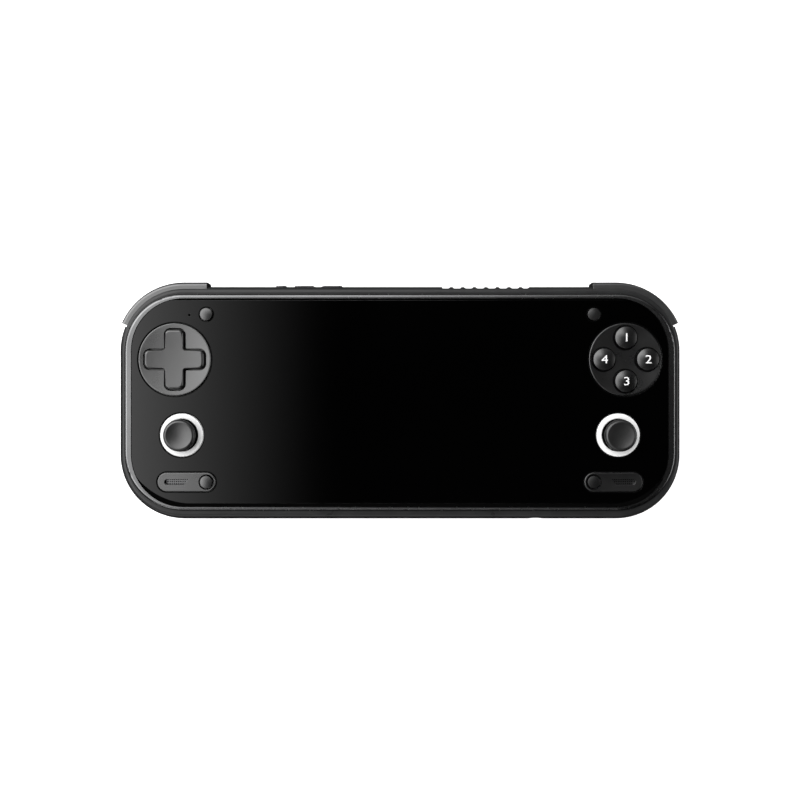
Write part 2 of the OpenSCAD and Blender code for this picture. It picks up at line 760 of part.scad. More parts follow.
module rear_shell() color(charcoal) place() difference() {
  union() {
    difference() {
      union() {
        soft_plate_down(body_w, body_h, corner_r, back_z, part_z - reveal, rear_round - reveal);
        slab(part_z - 2 * reveal, part_z) outline(reveal);
      }
      difference() {
        inset = 2 * side_wall;
        soft_plate_down(body_w - inset, body_h - inset, corner_r - side_wall, floor_z, part_z + 1,
                        min(rear_round, rear_depth - rear_wall) - 0.2);
        for (s = [-1, 1]) wing(s)
          translate([trigger_x - 2.5, trigger_pocket_y - 1.2, 0]) cube([trigger_w + 5, 20, part_z + 2]);
      }
    }
    for (s = [-1, 1]) translate([s * swell_at[0], swell_at[1], 0])
      soft_plate_down(swell_w, swell_l, swell_r, 0, back_z + 0.6, swell_h);
    for (p = shell_screws_at)
      translate([p[0], p[1], floor_z - eps]) cylinder(r = boss_r + 0.7, h = boss_z - floor_z + eps);
  }
  for (p = shell_screws_at) translate([p[0], p[1], -1]) {
    cylinder(r = screw_d / 2 + 0.25, h = boss_z + 2);
    cylinder(d = screw_head_d + 0.5, h = back_z + screw_seat + 1);
  }
  slab(back_z - 1, floor_z + 1) intake_slots();
  for (s = [-1, 1]) wing(s) {
    trigger_room();
    trigger_pin_rod(hinge_pin_d / 2);
  }
}

// Outline of the glass: the bezel's opening, cut straight at the top and drawn in at the lower corners
module glass_outline(grow) intersection() {
  translate([0, opening_y])
    rounded(glass_w + 2 * grow, opening_h - 2 * glass_gap + 2 * grow, glass_r + grow);
  translate([0, glass_y]) {
    rounded(opening_w + 2 * draw_out, glass_h + 2 * grow, draw_r);
    translate([0, (glass_h + 2 * grow) / 4])
      square([opening_w + 2 * draw_out, (glass_h + 2 * grow) / 2], center = true);
  }
}

module front_glass() color(black) place() difference() {
  slab(ledge_z, glass_z) glass_outline(0);
  for (s = [-1, 1]) wing(s) slab(ledge_z - 1, glass_z + 1) {
    translate(pad) circle(d = dish_d + 2 * inlay_gap);
    translate(stick) circle(d = ring_d + 2 * inlay_gap);
    translate(upper) circle(d = small_d + 2 * small_gap);
    translate(trim) stadium(trim_l + 2 * inlay_gap, trim_w + 2 * inlay_gap);
  }
  translate([-mic[0], mic[1], ledge_z - 1]) cylinder(d = mic_d, h = glass_t + 2);
}

// Black foam strips in the gaps above and below the glass, which run out round its corners
module glass_seals() color([0.02, 0.02, 0.02]) place() slab(ledge_z, glass_z - seal_sunk) difference() {
  translate([0, opening_y])
    rounded(opening_w - 2 * seal_play, opening_h - 2 * seal_play, opening_r - seal_play);
  glass_outline(seal_clear);
}

module display_panel() color([0.02, 0.02, 0.03]) place()
  translate([0, glass_y, 0]) slab(pocket_z, ledge_z) rounded(display_w, display_h, 1.2);

// Round inlay with a hollow front and a lip along its edge
module dish() {
  lip = 0.5;
  difference() {
    soft_disc(dish_d, dish_z, inlay_z, 0.25);
    hollow_ball(dish_d - 2 * lip, dish_dip, inlay_z - dish_dip);
  }
}

// Outline of a cross with rounded ends and inner corners
module cross_outline(l, w, r, fillet) {
  turn = w / 2 + fillet - eps;
  rounded(l, w, r);
  rounded(w, l, r);
  for (a = [0 : 90 : 270]) rotate(a) difference() {
    translate([w / 2 - fillet, w / 2 - fillet]) square(2 * fillet - eps);
    translate([turn, turn]) circle(fillet);
  }
}

module dpad_dish() color([0.35, 0.355, 0.36]) place() translate([-pad[0], pad[1], 0]) difference() {
  dish();
  slab(dish_z - 1, inlay_z + 1)
    cross_outline(cross_l + 2 * cross_gap, cross_w + 2 * cross_gap, cross_r + cross_gap,
      cross_fillet - cross_gap);
}

module button_dish() color([0.12, 0.12, 0.125]) place() difference() {
  translate([pad[0], pad[1], 0]) dish();
  for (p = face_places())
    translate([p[0], p[1], dish_z - 1]) cylinder(d = face_d + 2 * face_gap, h = dish_t + 2);
}

module speaker_trim() {
  difference() {
    translate([trim[0], trim[1], 0]) {
      r = trim_w / 2;
      soft_plate(trim_l, trim_w - eps, r - eps, ledge_z, inlay_z, 0.25);
    }
    translate([slot[0], slot[1], ledge_z - 1]) linear_extrude(glass_t + 2) {
      translate([(slot_l - slot_w) / 2, 0]) circle(d = slot_w);
      polygon([
        [(slot_l - slot_w) / 2, -slot_w / 2],
        [(slot_l - slot_w) / 2, slot_w / 2],
        [-slot_l / 2 - slot_w / 4, slot_w / 2],
        [-slot_l / 2 + slot_w / 2, -slot_w / 2]
      ]);
    }
    translate([lower[0], lower[1], ledge_z - 1]) cylinder(d = small_d + 2 * small_gap, h = glass_t + 2);
  }
}

module left_speaker_trim() color([0.4, 0.405, 0.41]) place() wing(-1) speaker_trim();
module right_speaker_trim() color([0.1, 0.1, 0.105]) place() wing(1) speaker_trim();

module speaker_mesh() {
  nx = floor((slot_l - 0.4) / mesh_pitch / 2);
  ny = floor((slot_w - 0.2) / mesh_pitch / 2);
  translate([slot[0], slot[1], ledge_z - 0.3]) linear_extrude(0.25) difference() {
    rounded(slot_l + 2, slot_w + 1.8, 0.6);
    for (i = [-nx : nx], j = [-ny : ny]) translate([i, j] * mesh_pitch) circle(d = mesh_hole, $fn = 16);
  }
}

module speaker_meshes() color(steel) place() {
  for (s = [-1, 1]) wing(s) speaker_mesh();
}

module light_ring() {
  edge = 0.4;
  w = (ring_d - ring_bore) / 2;
  translate([stick[0], stick[1], ledge_z]) rotate_extrude() translate([ring_bore / 2, 0]) {
    square([w, inlay_z - ledge_z - edge]);
    translate([edge, 0]) square([w - 2 * edge, inlay_z - ledge_z]);
    translate([w - edge, inlay_z - ledge_z - edge]) quarter(edge);
    translate([edge, inlay_z - ledge_z - edge]) mirror([1, 0]) quarter(edge);
  }
}

module left_light_ring() color([0.95, 0.95, 0.95]) place() wing(-1) light_ring();
module right_light_ring() color([0.95, 0.95, 0.95]) place() wing(1) light_ring();

// Heights of the D-pad's rocking parts
ball_z = panel_z + 0.1 + ball_d / 2;
rocker_z1 = dish_z - 0.95;
rocker_z0 = rocker_z1 - 0.8;
cross_z = glass_z + cross_proud;
dome_ring = cross_l / 2 - 3.6;

// The cross: four arms with a rounded upper edge, which runs on round the inner corners
module cross_body() {
  t = cross_z - rocker_z0;
  reach = cross_fillet + cross_edge;
  turn = cross_w / 2 + cross_fillet;
  core = cross_w - 2 * cross_edge;
  for (a = [0, 90]) rotate([0, 0, a]) {
    difference() {
      soft_plate(cross_l, cross_w, cross_r, rocker_z0, cross_z, cross_edge);
      translate([-turn, -cross_w, rocker_z0 - 1]) cube([2 * turn, 2 * cross_w, t + 2]);
    }
    translate([-turn, -core / 2, rocker_z0]) cube([2 * turn, core, t]);
  }
  for (a = [0 : 90 : 270]) rotate([0, 0, a]) intersection() {
    translate([turn - reach, turn - reach, rocker_z0]) cube([reach, reach, t]);
    translate([turn, turn, rocker_z0]) rotate_extrude() {
      translate([cross_fillet, 0]) square([reach, t - cross_edge]);
      translate([reach, 0]) square([reach, t]);
      translate([reach, t - cross_edge]) mirror([1, 0]) quarter(cross_edge);
    }
  }
}

module dpad() color([0.3, 0.305, 0.31]) place() translate([-pad[0], pad[1], 0]) difference() {
  union() {
    cross_body();
    slab(rocker_z0, rocker_z1) circle(d = rocker_d);
  }
  hollow_ball(cross_l - 2 * cross_edge, cross_dip, cross_z - cross_dip);
  translate([0, 0, ball_z]) sphere(d = ball_d + 2 * slip_gap);
}

module dpad_pivot() color(steel) place() translate([-pad[0], pad[1], ball_z]) sphere(d = ball_d);

// Rubber sheet with a sprung dome under each contact
module membrane(places, dome_top, dome_w) {
  difference() {
    union() {
      translate([0, 0, panel_z]) cylinder(d = dish_d - 1, h = sheet_t);
      for (p = places) translate([p[0], p[1], panel_z + sheet_t - eps])
        cylinder(d1 = dome_w, d2 = dome_w - 2, h = dome_top - panel_z - sheet_t + eps);
    }
    translate([0, 0, panel_z - 1]) cylinder(d = ball_d + 1.4, h = sheet_t + 2);
  }
}

module dpad_membrane() color([0.75, 0.74, 0.7]) place() translate([-pad[0], pad[1], 0])
  membrane([for (a = [0 : 90 : 270]) dome_ring * [cos(a), sin(a)]], rocker_z0 - slip_gap, 6);

module button_membrane() color([0.75, 0.74, 0.7]) place() translate([pad[0], pad[1], 0])
  membrane([for (p = face_places()) p - pad], collar_z0 - slip_gap, 7);

module face_button(i) {
  p = face_places()[i];
  top = glass_z + face_proud;
  ball_r = (face_d * face_d / 4 + face_dome * face_dome) / (2 * face_dome);
  color([0.09, 0.09, 0.095]) place() translate([p[0], p[1], 0]) {
    intersection() {
      translate([0, 0, collar_z0]) cylinder(d = face_d, h = top - collar_z0 + 1);
      translate([0, 0, top - ball_r]) sphere(ball_r, $fn = 128);
    }
    translate([0, 0, collar_z0]) cylinder(d = face_d + 2 * face_collar, h = collar_z1 - collar_z0);
  }
}

module button_top() face_button(0);
module button_right() face_button(1);
module button_bottom() face_button(2);
module button_left() face_button(3);

module small_button(side, p) {
  top = glass_z + small_proud;
  dome = 0.2;
  ball_r = (small_d * small_d / 4 + dome * dome) / (2 * dome);
  flange_z = wing_z - slip_gap;
  color([0.14, 0.14, 0.145]) place() wing(side) translate([p[0], p[1], 0]) {
    intersection() {
      translate([0, 0, flange_z - small_flange]) cylinder(d = small_d, h = top);
      translate([0, 0, top - ball_r]) sphere(ball_r, $fn = 128);
    }
    translate([0, 0, flange_z - small_flange]) cylinder(d = small_d + 2 * small_collar, h = small_flange);
  }
}

module upper_left_button() small_button(-1, upper);
module upper_right_button() small_button(1, upper);
module lower_left_button() small_button(-1, lower);
module lower_right_button() small_button(1, lower);

module stick_cap(side) color(black) place() wing(side) translate([stick[0], stick[1], 0]) difference() {
  rotate_extrude() translate([0, cap_z]) {
    square([cap_d / 2 - cap_rim, cap_t]);
    translate([0, cap_foot]) square([cap_d / 2, cap_t - cap_rim - cap_foot]);
    square([cap_d / 2 - cap_foot, cap_foot]);
    translate([cap_d / 2 - cap_rim, cap_t - cap_rim]) quarter(cap_rim);
    translate([cap_d / 2 - cap_foot, cap_foot]) mirror([0, 1]) quarter(cap_foot);
  }
  hollow_ball(cap_d - 2 * cap_rim, cap_dip, cap_z + cap_t - cap_dip);
  translate([0, 0, cap_z - 1]) cylinder(d = neck_d, h = neck_grip + 1);
}

// Lever: shaft through the rocker, dust dome about the pivot, neck up into the cap
module stick_lever(side) color([0.08, 0.08, 0.085]) place() wing(side)
  translate([stick[0], stick[1], 0]) {
    neck_z = pivot_z + dome_r - 0.6;
    translate([0, 0, tip_z]) cylinder(d = shaft_d, h = neck_z - tip_z + eps);
    intersection() {
      translate([0, 0, pivot_z]) difference() {
        sphere(dome_r, $fn = 128);
        sphere(dome_r - dome_t, $fn = 128);
      }
      translate([0, 0, dome_z]) cylinder(r = dome_r, h = dome_r);
    }
    translate([0, 0, neck_z]) cylinder(d = neck_d, h = cap_z + neck_grip - neck_z);
  }

module stick_rocker(side) color(steel) place() wing(side) translate([stick[0], stick[1], pivot_z]) {
  root = rock_d / 2 - 0.6;
  difference() {
    cylinder(d = rock_d, h = rock_t, center = true);
    cylinder(d = shaft_d + 2 * run_gap, h = 2 * rock_t, center = true);
  }
  for (a = [90, 270]) rotate([0, 0, a]) translate([root, 0, 0])
    rotate([0, 90, 0]) cylinder(d = rock_pin_d, h = rock_pin_end - root);
}

module stick_gimbal(side) color([0.82, 0.8, 0.74]) place() wing(side)
  translate([stick[0], stick[1], pivot_z]) difference() {
    union() {
      cylinder(d = gimbal_d, h = gimbal_t, center = true);
      rotate([0, 90, 0]) cylinder(d = gimbal_pin_d, h = pot_w - 2 * slip_gap, center = true);
    }
    cylinder(d = gimbal_bore, h = 2 * gimbal_t, center = true);
    rotate([90, 0, 0]) cylinder(d = rock_pin_d + 2 * run_gap, h = 2 * gimbal_d, center = true);
  }

module stick_housing(side) color([0.05, 0.05, 0.05]) place() wing(side)
  translate([stick[0], stick[1], 0]) difference() {
    slab(pot_z, panel_z - board_t) rounded(pot_w, pot_w, 1.0);
    slab(pot_z + pot_floor, panel_z) square(pot_w - 2 * pot_wall, center = true);
    translate([-pot_w, 0, pivot_z]) rotate([0, 90, 0])
      cylinder(d = gimbal_pin_d + 2 * run_gap, h = 2 * pot_w);
  }

module left_stick_cap() stick_cap(-1);
module left_stick_lever() stick_lever(-1);
module left_stick_rocker() stick_rocker(-1);
module left_stick_gimbal() stick_gimbal(-1);
module left_stick_housing() stick_housing(-1);
module right_stick_cap() stick_cap(1);
module right_stick_lever() stick_lever(1);
module right_stick_rocker() stick_rocker(1);
module right_stick_gimbal() stick_gimbal(1);
module right_stick_housing() stick_housing(1);

module bumper(side) color([0.2, 0.2, 0.205]) place() wing(side) difference() {
  union() {
    corner_sweep(bumper_run, bumper_end)
      bumper_section(bumper_sunk, bumper_proud, bumper_z0, bumper_z1, bumper_round);
    translate([bumper_pin[0], bumper_pin[1], lug_z0]) {
      cylinder(r = lug_r, h = lug_z1 - lug_z0);
      translate([0.3 - lug_r, 0, 0])
        cube([2 * lug_r - 0.6, top_y - 0.6 - bumper_pin[1], lug_z1 - lug_z0]);
    }
  }
  bumper_pin_rod(hinge_pin_d / 2 + run_gap);
}

module left_bumper() bumper(-1);
module right_bumper() bumper(1);

module bumper_pins() color(steel) place() {
  for (s = [-1, 1]) wing(s) bumper_pin_rod(hinge_pin_d / 2);
}

// Trigger: a finger plate that follows the outline, on an arm that turns about its pin
module trigger(side) color([0.18, 0.18, 0.185]) place() wing(side) difference() {
  plate_y = top_y + trigger_proud - trigger_t;
  edge = 1.9;
  intersection() {
    translate([trigger_x, 0, 0]) rotate([90, 0, 90]) linear_extrude(trigger_w) {
      translate([plate_y, trigger_z0 + edge]) square([trigger_t, trigger_z1 - trigger_z0 - edge]);
      translate([plate_y, trigger_z0]) square([trigger_t - edge, edge + eps]);
      translate([plate_y + trigger_t - edge, trigger_z0 + edge]) mirror([0, 1]) quarter(edge);
      translate([trigger_pin[0], trigger_pin[1] - 0.6])
        square([plate_y - trigger_pin[0] + eps, trigger_z1 - trigger_pin[1] + 0.6]);
      translate(trigger_pin) circle(trigger_hub);
    }
    slab(0, part_z) outline(-trigger_proud);
  }
  trigger_pin_rod(hinge_pin_d / 2 + run_gap);
}

module left_trigger() trigger(-1);
module right_trigger() trigger(1);

module trigger_pins() color(steel) place() {
  for (s = [-1, 1]) wing(s) trigger_pin_rod(hinge_pin_d / 2);
}

// Key in the top wall: a stadium bar with a flange inside the wall and a nub towards its switch
module key_bar(l, inset) {
  flange_y = top_y - side_wall - inset;
  translate([0, top_y + key_proud, key_z]) rotate([90, 0, 0])
    linear_extrude(top_y + key_proud - flange_y + key_flange) stadium(l, key_w);
  translate([0, flange_y, key_z]) rotate([90, 0, 0])
    linear_extrude(key_flange) stadium(l + 1.6, key_w + 1.2);
  translate([0, flange_y - key_flange, key_z]) children();
}

// Nub on a key's flange that meets its switch
module key_nub(x) {
  translate([x - nub_w / 2, -nub_l, -nub_w / 2]) cube([nub_w, nub_l + eps, nub_w]);
}

module power_button() color(charcoal) place() translate([-power_off, 0, 0])
  key_bar(power_l, key_inset) key_nub(0);

module volume_rocker() color(charcoal) place() translate([-volume_off, 0, 0]) difference() {
  key_bar(volume_l, rocker_inset) {
    for (s = [-1, 1]) key_nub(s * rocker_nub);
  }
  translate([0, top_y + key_proud + eps, key_z - key_w]) linear_extrude(2 * key_w)
    polygon([[-2.25, 0], [2.25, 0], [0.6, -0.65], [-0.6, -0.65]]);
}

module main_board() color(board_green) place() slab(board_z, board_z + board_t) difference() {
  union() {
    translate([board_x0, board_y0]) square([board_x1 - board_x0, board_y1 - board_y0]);
    translate([strip_x, board_y1 - strip_h]) square([board_x0 - strip_x + eps, strip_h]);
  }
  for (p = shell_screws_at) translate(p) circle(boss_r + free_gap);
  for (p = main_posts) translate(p) circle(board_screw_d / 2 + run_gap);
  translate([-port_w / 2 - 0.2, -top_y]) square([port_w + 0.4, port_l + 0.6]);
}

// Processor, memory and power chips under the board, where the heat sink's plate meets them
module board_chips() color([0.1, 0.1, 0.1]) place() {
  for (c = [[0, cpu_w, cpu_w], [ram_x, ram[0], ram[1]], [power_chip_x, power_chip_w, power_chip_w]])
    translate([sink_x + c[0], sink_y, chip_z + chip_t / 2]) cube([c[1], c[2], chip_t], center = true);
}

module control_board() {
  slab(panel_z - board_t, panel_z) difference() {
    intersection() {
      outline(5.2);
      union() {
        translate([tray_x - 1.2, lower[1] + speaker_w / 2 + speaker_room])
          square([side_x - tray_x - 7, top_y]);
        translate([tray_x - 1.2, lower[1] - 4])
          square([slot[0] - speaker_l / 2 - free_gap - tray_x + 1.2, upper[1] + 8 - lower[1]]);
        translate([tray_x - 1.2, 0]) square([side_x - tray_x - 7, upper[1] + 4]);
      }
    }
    translate(stick) circle(dome_r + 0.4);
    for (p = shell_screws_at) translate(p) circle(boss_r + free_gap);
    for (p = board_posts) translate(p) circle(board_screw_d / 2 + run_gap);
  }
}

module left_control_board() color(board_green) place() wing(-1) control_board();
module right_control_board() color(board_green) place() wing(1) control_board();

// Switch under the main board that a key's nub meets at the end of its travel
module key_switch(x, stop) {
  depth = 2.2;
  h = 1.8;
  face_y = top_y - side_wall - key_flange - nub_l - stop - slip_gap;
  translate([x - switch_w / 2, face_y - depth, board_z - h]) cube([switch_w, depth, h]);
}

// Switches under the small buttons, and behind the power button and the volume rocker
module tact_switches() color(steel) place() {
  for (s = [-1, 1], p = [upper, lower])
    translate([s * p[0], p[1], panel_z + switch_t / 2]) cube([switch_w, switch_w, switch_t], center = true);
  key_switch(-power_off, key_inset + key_travel);
  for (s = [-1, 1]) key_switch(s * rocker_nub - volume_off, rocker_inset + rocker_travel);
}

module battery() color([0.2, 0.2, 0.22]) place() translate([(battery_x0 + battery_x1) / 2, battery_y, 0])
  soft_plate(battery_x1 - battery_x0, battery_l, 3, floor_z, floor_z + battery_t, 1.5);

// Blower: rotor chamber with an intake below and an outlet towards the vent
module fan_housing() color([0.07, 0.07, 0.07]) place() translate([fan[0], fan[1], 0]) {
  difference() {
    slab(fan_z, fan_z + fan_h) rounded(fan_w, fan_l, 2);
    translate([0, 0, fan_z + fan_lid]) cylinder(d = fan_d + 3, h = fan_h - 2 * fan_lid);
    translate([fan_wall - fan_w / 2, 0, fan_z + fan_lid])
      cube([fan_w - 2 * fan_wall, fan_l, fan_h - 2 * fan_lid]);
    translate([0, 0, fan_z - 1]) cylinder(d = fan_d * 0.72, h = 2);
  }
  translate([0, 0, fan_z + fan_run]) cylinder(d = fan_shaft_d, h = fan_h - fan_run - fan_lid + eps);
}

module fan_rotor() color([0.12, 0.12, 0.12]) place() translate([fan[0], fan[1], 0]) {
  z0 = fan_z + fan_run;
  z1 = fan_z + fan_h - fan_run;
  disc_t = 0.5;
  blade_z1 = z1 - disc_t / 2;
  hub_d = fan_d * 0.43;
  difference() {
    union() {
      translate([0, 0, z0]) cylinder(d = hub_d, h = blade_z1 - z0);
      translate([0, 0, z1 - disc_t]) cylinder(d = fan_d - 3, h = disc_t);
      for (i = [0 : fan_blades - 1])
        rotate([0, 0, i * 360 / fan_blades]) fan_blade(z0 + 0.3, blade_z1, hub_d / 2);
    }
    translate([0, 0, z0 - 1]) cylinder(d = fan_shaft_d + 2 * run_gap, h = z1 - z0 + 2);
  }
}

// Blade swept as part of an arc from the hub to the rim
module fan_blade(z0, z1, hub_r) {
  r = fan_d / 2 * 0.8;
  t = 0.5;
  slab(z0, z1) intersection() {
    difference() {
      circle(d = fan_d);
      circle(hub_r - 0.4);
    }
    translate([hub_r - 1, -r + 0.6]) intersection() {
      difference() {
        circle(r);
        circle(r - t);
      }
      square(2 * r);
    }
  }
}

// Heat sink: plate on the processor, flat pipe past the fan, and fins between fan and vent
module heat_sink() color([0.72, 0.42, 0.26]) place() {
  fin_y0 = fan[1] + fan_l / 2 + 0.2;
  fin_y1 = top_y - side_wall - 0.5;
  fin_l = fan_w - 2;
  fin_t = 0.5;
  pipe_x = fan[0] + fan_w / 2 + 0.8;
  translate([sink_x0, sink_y - sink_w / 2, sink_z]) cube([pipe_x + pipe_w - sink_x0, sink_w, sink_t]);
  translate([pipe_x, sink_y, sink_z]) cube([pipe_w, fin_y1 - sink_y, sink_t]);
  translate([fan[0] - fin_l / 2, fin_y0, sink_z])
    cube([pipe_x + pipe_w - fan[0] + fin_l / 2, fin_y1 - fin_y0, sink_t]);
  for (i = [0 : sink_fins - 1])
    translate([fan[0] - fin_l / 2 + i * (fin_l - fin_t) / (sink_fins - 1), fin_y0, fin_z])
      cube([fin_t, fin_y1 - fin_y0, sink_z - fin_z + eps]);
}

// Speaker driver with its round cone, under the frame's plate
module speaker() {
  translate([slot[0], slot[1], 0]) difference() {
    slab(wing_z - speaker_t, wing_z) rounded(speaker_l, speaker_w, 1.5);
    slab(wing_z - 0.8, wing_z + 1) stadium(speaker_l - 3, speaker_w - 3);
  }
}

module speakers() color([0.1, 0.1, 0.1]) place() {
  for (s = [-1, 1]) wing(s) speaker();
}

module charging_port() color(steel) place() translate([0, -top_y + 0.3, port_z]) rotate([-90, 0, 0]) {
  wall = 0.3;
  difference() {
    linear_extrude(port_l) stadium(port_w, port_h);
    translate([0, 0, -1]) linear_extrude(port_l) stadium(port_w - 2 * wall, port_h - 2 * wall);
  }
  translate([0, 0, 0.8]) linear_extrude(port_l - 1) square([port_w - 2.3, 0.7], center = true);
}

module card_socket() color(steel) place() {
  rail = 1.5;
  translate([door_off, card_y - top_y, card_z]) difference() {
    translate([-card_w / 2, 0, 0]) cube([card_w, card_l, card_t]);
    translate([rail - card_w / 2, -1, 0.4]) cube([card_w - 2 * rail, card_l, card_t - 0.7]);
  }
}

module card_door() color(charcoal) place() difference() {
  y0 = -top_y;
  slab(door_z, door_z + door_h) {
    translate([door_x0 + knuckle_r, y0 + 0.05]) square([door_l - knuckle_r, door_t - 0.05]);
    translate([door_x0 + knuckle_r, y0 + knuckle_r]) circle(knuckle_r);
  }
  translate([door_x0 + knuckle_r, y0 + knuckle_r, door_z - 1])
    cylinder(d = door_pin_d + 2 * run_gap, h = door_h + 2);
  nail_notch();
}

module card_door_pin() color(steel) place()
  translate([door_x0 + knuckle_r, knuckle_r - top_y, door_z - 1]) cylinder(d = door_pin_d, h = door_h + 2);

module screw(d, head_d, head_h, l) {
  difference() {
    cylinder(d = head_d, h = head_h);
    translate([0, 0, -eps]) cylinder(d = head_d * 0.45, h = head_h * 0.55, $fn = 6);
  }
  translate([0, 0, head_h - eps]) cylinder(d = d, h = l + eps);
}

module shell_screws() color(steel) place() {
  head_h = 1.1;
  for (p = shell_screws_at)
    translate([p[0], p[1], back_z + screw_seat - head_h]) screw(screw_d, screw_head_d, head_h, 6.4);
}

module board_screws() color(steel) place() {
  head_h = 0.8;
  for (s = [-1, 1], p = board_posts)
    translate([s * p[0], p[1], panel_z - board_t - head_h])
      screw(board_screw_d, 2 * board_screw_d, head_h, board_t + post_h - 0.4);
  for (p = main_posts)
    translate([p[0], p[1], board_z - head_h])
      screw(board_screw_d, 2 * board_screw_d, head_h, board_t + board_room + tray_t * 0.5);
}

front_frame();
front_bezel();
rear_shell();
front_glass();
glass_seals();
display_panel();
dpad_dish();
button_dish();
left_speaker_trim();
right_speaker_trim();
speaker_meshes();
left_light_ring();
right_light_ring();
dpad();
dpad_pivot();
dpad_membrane();
button_top();
button_right();
button_bottom();
button_left();
button_membrane();
upper_left_button();
upper_right_button();
lower_left_button();
lower_right_button();
left_stick_cap();
left_stick_lever();
left_stick_rocker();
left_stick_gimbal();
left_stick_housing();
right_stick_cap();
right_stick_lever();
right_stick_rocker();
right_stick_gimbal();
right_stick_housing();
left_bumper();
right_bumper();
bumper_pins();
left_trigger();
right_trigger();
trigger_pins();
power_button();
volume_rocker();
main_board();
board_chips();
left_control_board();
right_control_board();
tact_switches();
battery();
fan_housing();
fan_rotor();
heat_sink();
speakers();
charging_port();
card_socket();
card_door();
card_door_pin();
shell_screws();
board_screws();
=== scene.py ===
"""A handheld game console lying on its back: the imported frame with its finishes, marks and studio."""

import math

import bpy
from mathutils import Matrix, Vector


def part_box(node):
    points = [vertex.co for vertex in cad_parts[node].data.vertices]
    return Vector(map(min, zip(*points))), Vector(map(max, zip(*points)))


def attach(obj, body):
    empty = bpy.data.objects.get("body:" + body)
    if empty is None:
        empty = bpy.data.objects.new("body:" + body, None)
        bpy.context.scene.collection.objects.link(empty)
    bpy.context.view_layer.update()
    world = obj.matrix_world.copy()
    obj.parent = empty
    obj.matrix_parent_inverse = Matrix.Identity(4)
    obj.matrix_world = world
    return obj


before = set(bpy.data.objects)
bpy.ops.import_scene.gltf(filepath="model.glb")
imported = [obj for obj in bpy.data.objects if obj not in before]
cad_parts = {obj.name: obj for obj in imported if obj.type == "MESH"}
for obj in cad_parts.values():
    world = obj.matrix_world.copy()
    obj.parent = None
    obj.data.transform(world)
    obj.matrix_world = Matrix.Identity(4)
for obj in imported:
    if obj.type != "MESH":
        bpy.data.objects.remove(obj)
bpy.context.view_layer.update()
bpy.ops.object.select_all(action="DESELECT")

# Shell halves: the front frame with its rounded shoulder and the rear shell with the palm swells.
# Both are injection moulded in a black plastic with a fine spark-eroded grain, and screwed together.
MM = 0.001
SHELL_BLACK = (0.02, 0.0202, 0.0206)
NOISE_LOW, NOISE_HIGH = 0.3, 0.7
CLOUD = 9 * MM
PLASTIC_IOR = 1.6


def add(tree, kind, **properties):
    """Adds a shader node and sets its properties."""
    node = tree.nodes.new(kind)
    for name, value in properties.items():
        setattr(node, name, value)
    return node


def start_material(name, colour, roughness, metallic=0.0, specular=0.5, ior=1.5):
    """A node material whose even values sit on the shader's own sockets."""
    material = bpy.data.materials.new(name)
    material.use_nodes = True
    shader = material.node_tree.nodes["Principled BSDF"]
    shader.inputs["Base Color"].default_value = (*colour, 1)
    shader.inputs["Roughness"].default_value = roughness
    shader.inputs["Metallic"].default_value = metallic
    shader.inputs["Specular IOR Level"].default_value = specular
    shader.inputs["IOR"].default_value = ior
    return material, material.node_tree, shader


def noise(tree, size, detail=2.0):
    """Noise on Object coordinates, with cells of a size in metres."""
    place = add(tree, "ShaderNodeTexCoord")
    texture = add(tree, "ShaderNodeTexNoise")
    texture.inputs["Scale"].default_value = 1 / size
    texture.inputs["Detail"].default_value = detail
    tree.links.new(place.outputs["Object"], texture.inputs["Vector"])
    return texture.outputs["Fac"]


def spread(tree, value, low, high):
    """Takes the range that noise mostly keeps to, to the range from low to high."""
    ranged = add(tree, "ShaderNodeMapRange")
    ranged.inputs["From Min"].default_value = NOISE_LOW
    ranged.inputs["From Max"].default_value = NOISE_HIGH
    ranged.inputs["To Min"].default_value = low
    ranged.inputs["To Max"].default_value = high
    tree.links.new(value, ranged.inputs["Value"])
    return ranged.outputs["Result"]


def scaled(colour, factor):
    """A colour made darker or lighter."""
    return [factor * channel for channel in colour]


def colour_clouds(tree, shader, size, dark, light, detail=2.0):
    """Lets the base colour wander between two shades, in clouds of a size."""
    blend = add(tree, "ShaderNodeMix", data_type="RGBA")
    blend.inputs["A"].default_value = (*dark, 1)
    blend.inputs["B"].default_value = (*light, 1)
    tree.links.new(spread(tree, noise(tree, size, detail), 0, 1), blend.inputs["Factor"])
    tree.links.new(blend.outputs["Result"], shader.inputs["Base Color"])


def polish_clouds(tree, shader, size, low, high, detail=2.0):
    """Lets the roughness wander between two values, in clouds of a size."""
    tree.links.new(spread(tree, noise(tree, size, detail), low, high), shader.inputs["Roughness"])


def soften(tree, shader, height, depth, edge):
    """Bumps the surface by a height, over edges that catch the light as if rounded."""
    rounded = add(tree, "ShaderNodeBevel", samples=6)
    rounded.inputs["Radius"].default_value = edge
    bump = add(tree, "ShaderNodeBump")
    bump.inputs["Strength"].default_value = 1
    bump.inputs["Distance"].default_value = depth
    tree.links.new(height, bump.inputs["Height"])
    tree.links.new(rounded.outputs["Normal"], bump.inputs["Normal"])
    tree.links.new(bump.outputs["Normal"], shader.inputs["Normal"])


def moulded(name, colour, roughness, grain=0.14 * MM, depth=0.004 * MM, edge=0.12 * MM, specular=0.8):
    """Moulded plastic: fine grain, a faint cloud in its colour and polish, and softened edges."""
    material, tree, shader = start_material(name, colour, roughness, specular=specular, ior=PLASTIC_IOR)
    colour_clouds(tree, shader, CLOUD, scaled(colour, 0.86), scaled(colour, 1.14), detail=3)
    polish_clouds(tree, shader, CLOUD, 0.9 * roughness, 1.1 * roughness, detail=3)
    soften(tree, shader, noise(tree, grain), depth, edge)
    return material


def dress(material, *names):
    """Gives a material to CAD nodes."""
    for name in names:
        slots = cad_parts[name].data.materials
        slots.clear()
        slots.append(material)


shell_plastic = moulded("shell_plastic", SHELL_BLACK, 0.3, edge=0.1 * MM, specular=0.2)
dress(shell_plastic, "front_frame", "rear_shell")

